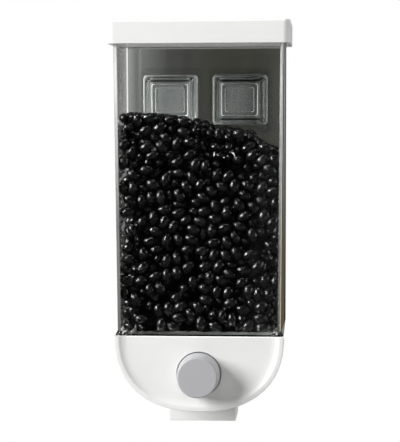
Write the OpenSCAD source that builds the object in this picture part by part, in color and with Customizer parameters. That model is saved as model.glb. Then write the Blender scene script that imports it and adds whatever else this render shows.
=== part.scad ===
// Wall-hung grain dispenser: a clear tank under a lift-off lid, on a half-round base.
// A sprung push button slides a gate under the funnel and lets grain fall through the spout.
// Frame: the wall is the plane y = 0, the front faces -y, and z = 0 is the middle of the hooks.

/* [Tank] */
// Width of the tank across its rim
tank_w = 112; // [100:1:130]
// Depth of the tank from its back wall to its front pane
tank_d = 65; // [64:1:85]
// Height of the tank from its rim to its shoulder
tank_h = 201; // [150:1:260]
// Thickness of the clear walls
tank_wall = 1.5; // [1:0.1:1.8]
// Rounding of the upright corners
tank_corner_r = 3; // [2.2:0.1:5]
// How much the front pane narrows down to its foot, both sides together
front_draft = 3.6; // [0:0.1:7]
// How much the back wall narrows down to its foot, both sides together
back_draft = 1; // [0:0.1:4]
// Height of the sloped shoulder between the panes and the base
shoulder_h = 3; // [2:0.1:5]
// How far the shoulder leans forward of the front pane
shoulder_lean = 3; // [1:0.1:4]
// How far the neck reaches into the base
neck_h = 4; // [3:0.1:5]

/* [Lid] */
// How far the lid stands out past the tank on every side
lid_overhang = 4; // [3.5:0.1:7]
// Height of the lid from its lower edge to its top
lid_h = 15.3; // [13:0.1:22]
// Thickness of the lid's skirt
lid_wall = 2; // [1.5:0.1:2.5]
// Thickness of the lid's top
lid_top_t = 2.2; // [1.6:0.1:3]
// Rounding of the lid's upright corners
lid_corner_r = 5; // [4:0.5:8]
// Rounding of the lid's top edge
lid_edge_r = 1.6; // [0.8:0.1:2]
// Height of the liner that plugs the tank's mouth
liner_h = 8; // [6:0.5:10]
// Thickness of the liner's ring wall
liner_wall = 1.6; // [1.2:0.1:2.2]
// Thickness of the seal ring round the liner
seal_t = 1.8; // [1.4:0.1:2.5]
// Height of the seal ring
seal_h = 3; // [2:0.1:4]

/* [Base] */
// How much narrower the half-round fascia is than the tank's rim
fascia_narrow = 0.4; // [0:0.1:4]
// Height of the half-round fascia
fascia_h = 49.7; // [48.5:0.1:60]
// Depth of the fascia from its rim to the housing
fascia_d = 6; // [5:0.1:7]
// Width of the raised rim round the fascia's curve
rim_w = 3.6; // [2.5:0.1:5]
// Width of the slope from the rim down to the face
rim_slope_w = 3; // [1:0.1:4]
// Depth of the face behind the rim
face_recess = 1.6; // [1:0.1:2]
// Thickness of the walls of the fascia and the housing
base_wall = 2; // [1.5:0.1:2.2]
// How far the housing stays inside the fascia's outline
housing_inset = 4; // [3.5:0.1:5]
// Fullness of the half-round curve, where 2 is an ellipse
curve_power = 2.3; // [2.2:0.05:2.8]

/* [Button] */
// Radius of the button at its face
button_face_r = 13.3; // [11:0.1:13.8]
// Radius of the button where it enters the fascia
button_root_r = 14.2; // [13.6:0.1:14.4]
// How far the button stands out from the fascia's rim
button_out = 14; // [13:0.1:16]
// How far the button is pushed in
button_travel = 10; // [9:0.1:10.4]
// Clearance round the button in its hole
button_gap = 0.4; // [0.3:0.05:0.8]
// Thickness of the button's cap
cap_wall = 2; // [1.4:0.1:2.6]
// Radius of the stem behind the cap
stem_r = 4; // [3.4:0.1:4.4]
// Radius of the wire of the return spring
wire_r = 0.4; // [0.3:0.05:0.5]
// Radius of the return spring to the middle of its wire
coil_r = 3.6; // [3:0.1:3.8]
// Turns of the return spring
coil_turns = 7; // [5:1:9]

/* [Gate and funnel] */
// Height of the gate's guide above the housing's floor
guide_lift = 3.9; // [3.6:0.1:6]
// Gap between the guide and the housing's curved walls
guide_gap = 0.9; // [0.4:0.1:4]
// Front-to-back length of the funnel's throat
throat_d = 9; // [7:0.1:9.5]
// How far the closed gate reaches past the throat's front edge
gate_lap = 1; // [0.4:0.1:1.2]
// How far the open gate reaches past the throat's back edge
gate_tail = 4; // [2:0.1:5]
// Thickness of the sliding gate
gate_t = 2; // [1.5:0.1:2.2]
// Thickness of the funnel's sloping walls
funnel_wall = 1.6; // [1.2:0.1:2]
// Width of the ledge from the neck to the funnel's mouth
mouth_ledge = 2.2; // [2:0.1:3]
// Thickness of the plate under the gate
guide_t = 2; // [1.5:0.1:2.2]
// Thickness of the gasket under the tank's neck
gasket_t = 1; // [0.6:0.1:1.4]

/* [Spout] */
// Width of the spout
spout_w = 45; // [40:1:47]
// Front-to-back length of the spout
spout_d = 33; // [28:1:34]
// How far the spout reaches below the fascia
spout_below = 12.3; // [8:0.1:20]
// Thickness of the spout's walls
spout_wall = 2; // [1.2:0.1:2.5]

/* [Wall hooks] */
// Depth from the tank's rim to the middle of its hook pockets
hook_drop = 49; // [40:1:80]
// Distance between the two hooks
hook_spacing = 48; // [45:1:52]
// Width of a pocket where it leaves the back wall
pocket_w = 37.5; // [34:0.5:40]
// Height of a pocket
pocket_h = 34.3; // [34:0.1:40]
// How far a pocket stands into the tank
pocket_depth = 7; // [6.5:0.1:9]
// How far the pocket's walls lean in towards its front
pocket_lean = 3.2; // [2:0.1:3.6]
// Height of the lip over the slot that hangs on the hook
lip_h = 3.6; // [3:0.1:4.5]
// Side of the square adhesive film
film_side = 44; // [38:0.5:44]
// Thickness of the adhesive film
film_t = 0.6; // [0.3:0.1:1]
// Width of the plate that carries the hook
plate_w = 31; // [28:0.5:34]
// Thickness of that plate
plate_t = 1.6; // [1.2:0.1:2]
// Width of the hook's head
head_w = 24.5; // [22:0.5:25]
// Height of the hook's head
head_h = 12.4; // [10:0.1:12.6]
// Thickness of the hook's head
head_t = 2.5; // [1.8:0.1:2.6]
// Width of the hook's neck
hook_neck_w = 18.5; // [14:0.5:19]
// Distance between the lid's back edge and the wall
wall_clear = 1.5; // [0.6:0.1:3]

/* [Hidden] */
// Overrun that keeps cut faces from coinciding
cut = 1;
// Thickness of the slices that lofted walls are drawn between
slice = 0.02;
// Gap between pieces that slide on or sit in each other
fit = 0.3;
// Gap between a hook and the lip that hangs on it
hang_gap = 0.2;
// How far the housing stands behind the tank's back wall
rear_step = 0.45;
// Degrees between the points of the half-round outline
outline_step = 5;
// Segments of round pieces, and of the corners of lofted walls
$fn = 64;
loft_fn = 32;

// Places along z, from the lid down to the spout
rim_z = hook_drop;
foot_z = rim_z - tank_h;
base_z = foot_z - shoulder_h;
neck_z = base_z - neck_h;
funnel_top_z = neck_z - gasket_t;
guide_z = base_z - fascia_h + 2 * base_wall + guide_lift;
button_z = guide_z + guide_t + 2 * fit + button_root_r;
gate_z = guide_z + guide_t + fit;
funnel_foot_z = gate_z + gate_t + fit;
fascia_foot_z = base_z - fascia_h;
spout_foot_z = fascia_foot_z - spout_below;
lid_under_z = rim_z + fit;
lid_z = lid_under_z + lid_top_t - lid_h;
liner_z = lid_under_z - liner_h;

// Places along y, from the wall to the button's face
tank_back = -(lid_overhang + wall_clear);
tank_front = tank_back - tank_d;
housing_back = tank_back - rear_step;
housing_inner_back = housing_back - base_wall;
fascia_front = tank_front - shoulder_lean - base_wall;
fascia_back = fascia_front + fascia_d;
face_y = fascia_front + face_recess;
button_face_y = fascia_front - button_out;

// The fascia, the housing behind it and the tank's neck inside that
fascia_w = tank_w - fascia_narrow;
housing_w = fascia_w - 2 * housing_inset;
housing_h = fascia_h - base_wall;
inner_w = housing_w - 2 * base_wall;
inner_h = housing_h - base_wall;
neck_w = inner_w - 4 * fit;
neck_front = fascia_back + fit;
neck_back = housing_inner_back - fit;
neck_r = tank_corner_r - fit;

// The gate's guide between the housing's curved walls, the gate in it and the throat above
function room(z) = inner_w * pow(1 - pow((base_z - z) / inner_h, curve_power), 1 / curve_power);
rail_w = 2.7;
gate_side = 3;
guide_w = room(guide_z) - 2 * guide_gap;
gate_w = guide_w - 2 * rail_w - 2 * fit;
throat_w = gate_w - 2 * gate_side;

// The funnel, from its mouth in the neck to its throat over the gate
flange_t = 1.6;
slope_share = 1.4;
throat_h = 2.2;
mouth_z = funnel_top_z - flange_t;
throat_z = funnel_foot_z + throat_h;
mouth_w = neck_w - 2 * tank_wall - 2 * mouth_ledge;
mouth_front = neck_front + tank_wall + mouth_ledge;
mouth_back = neck_back - tank_wall - mouth_ledge;
throat_back = housing_inner_back - fit - button_travel - gate_tail;
throat_front = throat_back - throat_d;
spout_y = (throat_front + throat_back) / 2;

// The lips that hang the spout on the housing's floor
spout_lip_w = 24;
spout_lip_l = 2;

// The button, the gate behind it and the spring between the gate and the funnel
cap_root_y = face_y + fit;
cap_edge_r = 1.2;
socket_wall = 1.6;
socket_d = 5;
upright_t = 2;
upright_w = 16;
upright_y = face_y + base_wall + 2 * fit;
upright_top = 4.5;
spring_z = gate_z + gate_t + coil_r + wire_r + 2 * fit;
spring_front = upright_y + upright_t;
seat_reach = 15;
seat_y = throat_front - seat_reach;
seat_w = 10;
peg_r = coil_r - wire_r - 2 * fit;
peg_l = 3;
spring_len = seat_y - spring_front;

// Screws and the posts that they hold
screw_r = 1.1;
pilot_r = 1.2;
screw_hole_r = 1.4;
screw_head_r = 2.6;
screw_head_t = 2;
bite_l = 7;
post_r = 4;
post_in = 5.6;
post_turn = 35;
post_floor = 2.5;
boss_l = 7.5;
post_front = fascia_back + boss_l;

// Hooks and the slots that hang on them
film_r = 4;
plate_r = 3;
head_r = 1.5;
pocket_r = 2.5;
entry_gap = 2.25;
arch_z = pocket_h / 2 - tank_wall - lip_h;
slot_w = hook_neck_w + 2 * fit;
entry_w = head_w + 2 * entry_gap;
head_z = 1;
platform_h = 20;
lip_y = tank_back - tank_wall;
lift_range = head_z + head_h + fit + hang_gap;

white = "#f3f2ee";
pale = "#dddcd8";
grey = "#b0b0b5";
steel = "#c4c7ca";
rubber = "#e9e7df";
clear = [0.62, 0.65, 0.63, 0.35];
film = [0.85, 0.88, 0.88, 0.4];

// A rectangle with round corners, and a plate of it that stands upright on y
module rounded(w, h, r) {
    square([w - 2 * r, h], center = true);
    square([w, h - 2 * r], center = true);
    for (x = [-1, 1], y = [-1, 1])
        translate([x * (w / 2 - r), y * (h / 2 - r)]) circle(r);
}
module upright_plate(w, h, t, r, back) {
    translate([0, back, 0]) rotate([90, 0, 0]) linear_extrude(t) rounded(w, h, r);
}

// The tank's outline, which may be wider at its back than at its front, as a thin slice at z
module pane_slice(front_w, back_w, front, back, r, z) {
    translate([0, 0, z]) linear_extrude(slice) hull() {
        for (s = [-1, 1]) {
            translate([s * (front_w / 2 - r), front + r]) circle(r, $fn = loft_fn);
            translate([s * (back_w / 2 - r), back - r]) circle(r, $fn = loft_fn);
        }
    }
}

// The space inside a skin that lies inset from the tank's outer faces, from its foot to z = top
module tank_space(inset, top) {
    r = tank_corner_r - inset;
    hull() {
        pane_slice(tank_w - 2 * inset, tank_w - 2 * inset, tank_front + inset,
            tank_back - inset, r, top - slice);
        pane_slice(tank_w - front_draft - 2 * inset, tank_w - back_draft - 2 * inset,
            tank_front + inset, tank_back - inset, r, foot_z);
    }
}

// The neck's outline between two heights, inset from its outer faces
module neck_block(inset, low, high) {
    w = neck_w - 2 * inset;
    d = neck_back - neck_front - 2 * inset;
    translate([0, (neck_front + neck_back) / 2, low])
        linear_extrude(high - low) rounded(w, d, neck_r - inset);
}

// A pocket's leaning box in the back wall, drawn inset from its outer faces
module pocket_box(inset) {
    for (s = [-1, 1]) translate([s * hook_spacing / 2, 0, 0]) hull() {
        upright_plate(pocket_w - 2 * inset, pocket_h - 2 * inset, slice, pocket_r - inset, lip_y);
        upright_plate(pocket_w - 2 * pocket_lean - 2 * inset,
            pocket_h - 2 * pocket_lean - 2 * inset, slice, pocket_r - inset,
            lip_y - pocket_depth + inset);
    }
}

module tank() color(clear) {
    $fn = loft_fn;
    difference() {
        union() {
            difference() {
                union() {
                    tank_space(0, rim_z);
                    hull() {
                        pane_slice(tank_w - front_draft, tank_w - back_draft, tank_front,
                            tank_back, tank_corner_r, foot_z);
                        pane_slice(fascia_w - 2 * fit, housing_w, tank_front - shoulder_lean,
                            housing_back, tank_corner_r, base_z);
                    }
                }
                tank_space(tank_wall, rim_z);
                bore_block(0, rim_z - cut, rim_z + cut);
                hull() {
                    pane_slice(tank_w - front_draft - 2 * tank_wall,
                        tank_w - back_draft - 2 * tank_wall, tank_front + tank_wall,
                        tank_back - tank_wall, tank_corner_r - tank_wall, foot_z);
                    neck_block(tank_wall, base_z, base_z + slice);
                }
                neck_block(tank_wall, neck_z, base_z + slice);
            }
            difference() {
                neck_block(0, neck_z, base_z + slice);
                neck_block(tank_wall, neck_z - cut, base_z + cut);
            }
            pocket_box(0);
        }
        pocket_box(tank_wall);
        for (s = [-1, 1]) translate([s * hook_spacing / 2, 0, 0]) {
            slot_foot = -pocket_h / 2 + 2 * tank_wall;
            translate([-slot_w / 2, lip_y - slice, slot_foot])
                cube([slot_w, tank_wall + cut, arch_z - slot_foot]);
            translate([-entry_w / 2, lip_y - slice, slot_foot])
                cube([entry_w, tank_wall + cut, -hang_gap - slot_foot]);
        }
    }
}

// Soft ring squeezed between the neck's foot and the funnel's flange
module neck_gasket() color(rubber) difference() {
    neck_block(0, neck_z - gasket_t, neck_z);
    neck_block(tank_wall, neck_z - gasket_t - cut, neck_z + cut);
}

// The half-round outline: straight across the top, which may be raised, and a full curve below
function curve_x(w, t) = w / 2 * sign(cos(t)) * pow(abs(cos(t)), 2 / curve_power);
function curve_z(h, t) = -h * pow(sin(t), 2 / curve_power);
module half_round(w, h, front, back, up = 0) {
    points = concat(
        up > 0 ? [[w / 2, up]] : [],
        [for (t = [0 : outline_step : 180]) [curve_x(w, t), curve_z(h, t)]],
        up > 0 ? [[-w / 2, up]] : []);
    translate([0, back, base_z]) rotate([90, 0, 0]) linear_extrude(back - front) polygon(points);
}

// Where the two posts stand, and a round bar along y between two places
post_x = curve_x(inner_w - 2 * post_in, post_turn);
post_z = base_z + curve_z(inner_h - post_in, post_turn);
module bar(r, x, z, front, back) {
    translate([x, back, z]) rotate([90, 0, 0]) cylinder(r = r, h = back - front);
}

module front_fascia() color(white) difference() {
    union() {
        difference() {
            half_round(fascia_w, fascia_h, fascia_front, fascia_back);
            translate([0, 0, -base_wall])
                half_round(fascia_w - 2 * base_wall, fascia_h - 2 * base_wall,
                    face_y + base_wall, fascia_back + cut);
        }
        for (s = [-1, 1]) bar(post_r, s * post_x, post_z, face_y + base_wall - slice, post_front);
    }
    hull() {
        half_round(fascia_w - 2 * rim_w, fascia_h - rim_w,
            fascia_front - slice, fascia_front, cut);
        half_round(fascia_w - 2 * rim_w - 2 * rim_slope_w, fascia_h - rim_w - rim_slope_w,
            face_y - slice, face_y, cut);
    }
    bar(button_root_r + button_gap, 0, button_z, fascia_front - cut, fascia_back + cut);
    for (s = [-1, 1]) bar(pilot_r, s * post_x, post_z, post_front - bite_l - cut, post_front + cut);
}

module base_housing() color(white) difference() {
    union() {
        difference() {
            half_round(housing_w, housing_h, fascia_back, housing_back);
            half_round(inner_w, inner_h, fascia_back - cut, housing_inner_back, cut);
        }
        for (s = [-1, 1]) bar(post_r, s * post_x, post_z, post_front, housing_inner_back + slice);
    }
    for (s = [-1, 1]) {
        bar(screw_head_r + fit, s * post_x, post_z, post_front + post_floor, housing_back + cut);
        bar(screw_hole_r, s * post_x, post_z, post_front - cut, post_front + post_floor + cut);
    }
    translate([-(spout_w + fit) / 2, spout_y - (spout_d + fit) / 2, fascia_foot_z - cut])
        cube([spout_w + fit, spout_d + fit, fascia_h / 2]);
}

// Two long screws from the housing's posts into the fascia's bosses
module fascia_screws() color(steel) for (s = [-1, 1]) {
    seat = post_front + post_floor;
    bar(screw_head_r, s * post_x, post_z, seat, seat + screw_head_t);
    bar(screw_r, s * post_x, post_z, post_front - bite_l, seat);
}

// The funnel's sloping space, grown by a wall's thickness
module funnel_space(grow) {
    hull() {
        translate([0, (mouth_front + mouth_back) / 2, mouth_z])
            linear_extrude(slice)
                square([mouth_w + 2 * grow, mouth_back - mouth_front + 2 * grow], center = true);
        translate([0, spout_y, throat_z - slice])
            linear_extrude(slice)
                square([throat_w + 2 * grow, throat_d + 2 * grow], center = true);
    }
    translate([0, spout_y, (funnel_foot_z + throat_z) / 2])
        cube([throat_w + 2 * grow, throat_d + 2 * grow, throat_h], center = true);
}

module hopper_funnel() color(white) {
    difference() {
        union() {
            funnel_space(funnel_wall * slope_share);
            neck_block(0, mouth_z, funnel_top_z);
            translate([0, spout_y, funnel_foot_z + flange_t / 2])
                cube([guide_w, throat_d + 2 * funnel_wall, flange_t], center = true);
            spring_seat();
        }
        funnel_space(0);
        translate([0, (mouth_front + mouth_back) / 2, mouth_z + flange_t / 2])
            cube([mouth_w, mouth_back - mouth_front, flange_t + cut], center = true);
        translate([0, spout_y, funnel_foot_z])
            cube([throat_w, throat_d, throat_h], center = true);
    }
}

// The wedge under the funnel's front slope that the return spring pushes against
module spring_seat() {
    low = spring_z - coil_r - wire_r;
    slope = (throat_front - mouth_front) / (mouth_z - throat_z);
    high = mouth_z - (seat_y - mouth_front + funnel_wall) / slope;
    translate([-seat_w / 2, 0, 0]) rotate([90, 0, 90]) linear_extrude(seat_w)
        polygon([[seat_y, low], [seat_y, high],
            [throat_front - funnel_wall / 2, throat_z], [throat_front - funnel_wall / 2, low]]);
    bar(peg_r, 0, spring_z, seat_y - peg_l, seat_y + slice);
}

// The plate under the gate, with a rail on each side that keeps the gate straight
module gate_guide() color(white) {
    back = housing_inner_back - fit;
    difference() {
        translate([-guide_w / 2, neck_front, guide_z])
            cube([guide_w, back - neck_front, funnel_foot_z - guide_z]);
        translate([-gate_w / 2 - fit, neck_front - cut, gate_z - fit])
            cube([gate_w + 2 * fit, back - neck_front + 2 * cut,
                funnel_foot_z - gate_z + fit + cut]);
        translate([0, spout_y, guide_z])
            cube([throat_w, throat_d, 2 * (guide_t + cut)], center = true);
    }
}

// The chute under the gate, hung by two lips on the housing's floor
module spout() color(pale) {
    lip_z = base_z + curve_z(inner_h, acos(pow(spout_lip_w / inner_w, curve_power / 2))) + fit / 2;
    difference() {
        union() {
            translate([-spout_w / 2, spout_y - spout_d / 2, spout_foot_z])
                cube([spout_w, spout_d, guide_z - spout_foot_z]);
            translate([-spout_lip_w / 2, spout_y - spout_d / 2 - spout_lip_l, lip_z])
                cube([spout_lip_w, spout_d + 2 * spout_lip_l, spout_wall / 2]);
        }
        translate([-spout_w / 2 + spout_wall, spout_y - spout_d / 2 + spout_wall,
            spout_foot_z - cut])
            cube([spout_w - 2 * spout_wall, spout_d - 2 * spout_wall,
                guide_z - spout_wall - spout_foot_z + cut]);
        translate([0, spout_y, guide_z])
            cube([throat_w, throat_d, 2 * (spout_wall + cut)], center = true);
    }
}

// The return spring: one wire wound along y, as rings of points joined into a tube
module return_spring() color(steel) {
    sides = 6;
    rings = 8 * coil_turns;
    run = spring_len - 2 * wire_r - fit;
    points = [for (i = [0 : rings], j = [0 : sides - 1])
        let (turn = 360 * i / 8, side = 360 * j / sides, r = coil_r + wire_r * cos(side))
        [r * cos(turn), spring_front + wire_r + fit / 2 + run * i / rings + wire_r * sin(side),
            spring_z + r * sin(turn)]];
    walls = [for (i = [0 : rings - 1], j = [0 : sides - 1])
        let (a = i * sides, k = (j + 1) % sides)
        each [[a + j, a + k, a + sides + k], [a + j, a + sides + k, a + sides + j]]];
    last = rings * sides;
    ends = [for (j = [1 : sides - 2]) each [[0, j + 1, j], [last, last + j, last + j + 1]]];
    echo(least_gap_of_the_spring = run / coil_turns - 2 * wire_r,
        least_gap_when_pushed = (run - button_travel) / coil_turns - 2 * wire_r);
    polyhedron(points, concat(walls, ends));
}

// The button's cup, its socket and the rounded edge of its face
module button_cap() color(grey) {
    l = cap_root_y - button_face_y;
    arc = [for (t = [0 : 22.5 : 90])
        [button_face_r - cap_edge_r + cap_edge_r * cos(t), l - cap_edge_r + cap_edge_r * sin(t)]];
    translate([0, cap_root_y, button_z]) rotate([90, 0, 0]) {
        rotate_extrude() polygon(concat(
            [[button_root_r - cap_wall, 0], [button_root_r, 0]], arc,
            [[0, l], [0, l - cap_wall], [button_face_r - cap_wall, l - cap_wall]]));
        translate([0, 0, l - cap_wall - socket_d]) difference() {
            cylinder(r = stem_r + slice + socket_wall, h = socket_d + slice);
            translate([0, 0, -cut]) cylinder(r = stem_r + slice, h = socket_d + cut);
        }
    }
}

module button_stem() color(white) difference() {
    bar(stem_r, 0, button_z, button_face_y + cap_wall, upright_y);
    bar(pilot_r, 0, button_z, upright_y - bite_l - cut, upright_y + cut);
}

module button_screw() color(steel) {
    bar(screw_head_r, 0, button_z, spring_front, spring_front + screw_head_t);
    bar(screw_r, 0, button_z, upright_y - bite_l, spring_front);
}

// The sliding gate: a plate with a port, and the upright that the stem is screwed to
module gate_slider() color(white) {
    port_back = throat_front - gate_lap;
    gate_back = throat_back + gate_tail;
    travel_port = port_back - throat_d;
    difference() {
        union() {
            translate([-gate_w / 2, upright_y, gate_z]) cube([gate_w, gate_back - upright_y, gate_t]);
            translate([-upright_w / 2, upright_y, gate_z])
                cube([upright_w, upright_t, button_z + upright_top - gate_z]);
            bar(peg_r, 0, spring_z, spring_front - slice, spring_front + peg_l);
        }
        translate([-throat_w / 2, travel_port, gate_z - cut])
            cube([throat_w, throat_d, gate_t + 2 * cut]);
        bar(screw_hole_r, 0, button_z, upright_y - cut, spring_front + cut);
    }
}

// The lid's outer block, with its top edge rounded in steps
module lid_block() hull() {
    lid_slice(0, lid_z);
    for (t = [0 : 30 : 90])
        lid_slice(lid_edge_r * (1 - cos(t)), lid_z + lid_h - slice - lid_edge_r * (1 - sin(t)));
}
module lid_slice(inset, z) {
    w = tank_w + 2 * lid_overhang - 2 * inset;
    d = tank_d + 2 * lid_overhang - 2 * inset;
    translate([0, (tank_front + tank_back) / 2, z]) linear_extrude(slice)
        rounded(w, d, lid_corner_r - inset, $fn = loft_fn);
}

// A rectangle inset from the tank's bore at its rim, between two heights
module bore_block(inset, low, high) {
    translate([0, (tank_front + tank_back) / 2, low]) linear_extrude(high - low)
        rounded(tank_w - 2 * tank_wall - 2 * inset, tank_d - 2 * tank_wall - 2 * inset,
            tank_corner_r - tank_wall);
}

module lid_shell() color(white) difference() {
    lid_block();
    translate([0, (tank_front + tank_back) / 2, lid_z - cut])
        linear_extrude(lid_under_z - lid_z + cut)
            rounded(tank_w + 2 * lid_overhang - 2 * lid_wall,
                tank_d + 2 * lid_overhang - 2 * lid_wall, lid_corner_r - lid_wall);
}

// The tray under the lid that plugs the tank's mouth, with a lip that keeps the seal on
module lid_liner() color(white) {
    out = 2 * fit + seal_t;
    difference() {
        union() {
            bore_block(out, liner_z, lid_under_z);
            bore_block(out - seal_t / 2, liner_z, liner_z + liner_wall / 2);
        }
        bore_block(out + liner_wall, liner_z - cut, lid_under_z - liner_wall);
    }
}
module lid_seal() color(rubber) {
    low = liner_z + liner_wall / 2;
    difference() {
        bore_block(2 * fit, low, low + seal_h);
        bore_block(2 * fit + seal_t, low - cut, low + seal_h + cut);
    }
}

// The clear film that sticks to the wall, and the hook plate stuck on it
module wall_film(side) color(film)
    translate([side * hook_spacing / 2, 0, 0])
        upright_plate(film_side, film_side, film_t, film_r, 0);
module wall_hook(side) color(film) translate([side * hook_spacing / 2, 0, 0]) {
    platform_front = tank_back + fit;
    neck_foot = head_z;
    neck_top = arch_z - hang_gap;
    upright_plate(plate_w, pocket_h, plate_t, plate_r, -film_t);
    translate([0, 0, (neck_top - platform_h) + platform_h / 2])
        upright_plate(hook_neck_w, platform_h, -film_t - plate_t - platform_front + slice,
            head_r, -film_t - plate_t + slice);
    translate([-hook_neck_w / 2, lip_y - fit - slice, neck_foot])
        cube([hook_neck_w, platform_front - lip_y + fit + 2 * slice, neck_top - neck_foot]);
    translate([0, 0, head_z + head_h / 2])
        upright_plate(head_w, head_h, head_t, head_r, lip_y - fit);
}
module left_wall_film() wall_film(-1);
module right_wall_film() wall_film(1);
module left_wall_hook() wall_hook(-1);
module right_wall_hook() wall_hook(1);

tank();
neck_gasket();
front_fascia();
base_housing();
hopper_funnel();
gate_guide();
spout();
fascia_screws();
return_spring();
button_cap();
button_stem();
gate_slider();
button_screw();
lid_shell();
lid_liner();
lid_seal();
left_wall_film();
right_wall_film();
left_wall_hook();
right_wall_hook();
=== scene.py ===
import math

import bpy
import numpy as np
from mathutils import Matrix, Vector
from mathutils.kdtree import KDTree


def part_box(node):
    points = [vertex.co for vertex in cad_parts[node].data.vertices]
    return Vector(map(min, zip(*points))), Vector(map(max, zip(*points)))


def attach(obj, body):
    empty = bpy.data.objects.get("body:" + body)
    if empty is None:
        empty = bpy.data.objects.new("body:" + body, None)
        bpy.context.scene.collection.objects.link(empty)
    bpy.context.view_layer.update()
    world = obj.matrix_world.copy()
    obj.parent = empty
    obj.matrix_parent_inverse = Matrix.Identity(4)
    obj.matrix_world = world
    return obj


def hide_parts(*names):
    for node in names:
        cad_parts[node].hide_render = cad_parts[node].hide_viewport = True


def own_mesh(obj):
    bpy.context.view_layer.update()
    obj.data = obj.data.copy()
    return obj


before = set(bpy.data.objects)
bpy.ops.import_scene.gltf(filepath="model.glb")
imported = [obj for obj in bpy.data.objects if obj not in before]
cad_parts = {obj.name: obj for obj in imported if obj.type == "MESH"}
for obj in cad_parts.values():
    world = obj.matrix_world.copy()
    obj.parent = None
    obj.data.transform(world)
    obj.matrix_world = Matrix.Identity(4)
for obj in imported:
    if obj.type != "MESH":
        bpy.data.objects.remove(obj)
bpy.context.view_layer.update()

# Camera
# A long lens a metre in front of the tank, a little to the right and almost level, which
# sees the lid's right end and the tank's right side as the photograph does.
mm = 0.001
scene = bpy.context.scene
scene.view_settings.view_transform = "Standard"
camera = bpy.data.objects.new("camera", bpy.data.cameras.new("camera"))
scene.collection.objects.link(camera)
camera.data.sensor_fit = "HORIZONTAL"
camera.data.sensor_width = 36
camera.data.lens = 138.7
camera.data.clip_start = 0.05
camera_place = (77.1 * mm, -1073.2 * mm, -9.3 * mm)
turn, tilt, lean = math.radians(4.351), math.radians(86.01), math.radians(-0.184)
camera.matrix_world = (
    Matrix.Translation(camera_place)
    @ Matrix.Rotation(turn, 4, "Z")
    @ Matrix.Rotation(tilt, 4, "X")
    @ Matrix.Rotation(lean, 4, "Z")
)
scene.camera = camera

# Light, background and floor
# One large soft key from the upper left, a weak fill from the lower front, a weak lamp at the
# right and a top lamp. Sky, backdrop and floor look white but hardly light the object.
tank_middle = Vector((0, -0.05, -0.09))


def soft_lamp(name, place, side, watts, mirrored=True):
    """A square lamp that faces the middle of the tank."""
    lamp = bpy.data.objects.new(name, bpy.data.lights.new(name, "AREA"))
    scene.collection.objects.link(lamp)
    lamp.data.shape = "SQUARE"
    lamp.data.size = side
    lamp.data.energy = watts
    lamp.visible_glossy = mirrored
    aim = (tank_middle - Vector(place)).to_track_quat("-Z", "Y")
    lamp.matrix_world = Matrix.Translation(place) @ aim.to_matrix().to_4x4()


soft_lamp("key", (-1.95, -1.17, 0.85), side=1.25, watts=88)
soft_lamp("fill", (0.5, -1.4, -0.5), side=1.2, watts=1.3, mirrored=False)
soft_lamp("right", (1.4, -0.15, 0.1), side=0.9, watts=9, mirrored=False)
soft_lamp("top", (0.0, -0.28, 1.3), side=0.9, watts=7, mirrored=False)

# The depths that a ray counts are whole numbers, so this parts none from one or more.
one_bounce = 0.5


def new_finish(name):
    """A new material, its node tree and its Principled shader."""
    material = bpy.data.materials.new(name)
    material.use_nodes = True
    return material, material.node_tree, material.node_tree.nodes["Principled BSDF"]


def maths(tree, operation, *terms):
    """The result of a Math node on sockets or numbers."""
    node = tree.nodes.new("ShaderNodeMath")
    node.operation = operation
    for slot, term in zip(node.inputs, terms):
        if isinstance(term, (int, float)):
            slot.default_value = term
        else:
            tree.links.new(term, slot)
    return node.outputs[0]


def show_mix(tree, share, first, second):
    """Makes a material show one shader turning into another."""
    mix = tree.nodes.new("ShaderNodeMixShader")
    for slot, source in zip(mix.inputs, (share, first, second)):
        tree.links.new(source, slot)
    tree.links.new(mix.outputs[0], tree.nodes["Material Output"].inputs["Surface"])


def seen_straight(tree):
    """1 for the camera's own rays, and for those that have only gone through clear plastic."""
    path = tree.nodes.new("ShaderNodeLightPath").outputs
    bounces = maths(tree, "ADD", path["Diffuse Depth"], path["Glossy Depth"])
    unbounced = maths(tree, "LESS_THAN", bounces, one_bounce)
    through = maths(tree, "MULTIPLY", path["Is Transmission Ray"], unbounced)
    return maths(tree, "MAXIMUM", path["Is Camera Ray"], through)


def seen_mirrored(tree):
    """1 for rays that a glossy surface has turned."""
    path = tree.nodes.new("ShaderNodeLightPath").outputs
    return maths(tree, "GREATER_THAN", path["Glossy Depth"], one_bounce)


def white_to_camera(tree, lit, share, in_gloss, level):
    """Mixes a plain white over a lit shader for what the camera sees straight, and a plain
    grey for what it sees mirrored."""
    straight = seen_straight(tree)
    glow = tree.nodes.new("ShaderNodeEmission")
    glow.inputs["Color"].default_value = (1, 1, 1, 1)
    strength = maths(tree, "MAXIMUM", maths(tree, "MULTIPLY", straight, level), in_gloss)
    tree.links.new(strength, glow.inputs["Strength"])
    seen = maths(tree, "MAXIMUM", straight, seen_mirrored(tree))
    show_mix(tree, maths(tree, "MULTIPLY", seen, share), lit.outputs[0], glow.outputs[0])


world = bpy.data.worlds.new("studio")
scene.world = world
world.use_nodes = True
tree = world.node_tree
sky = tree.nodes["Background"].inputs
sky["Color"].default_value = (1, 1, 1, 1)
sky_shows, sky_lights, sky_mirrored = 1.0, 0.04, 0.015
around = maths(tree, "MULTIPLY_ADD", seen_mirrored(tree), sky_mirrored - sky_lights, sky_lights)
behind = maths(tree, "MULTIPLY", seen_straight(tree), sky_shows)
tree.links.new(maths(tree, "MAXIMUM", around, behind), sky["Strength"])

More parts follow.
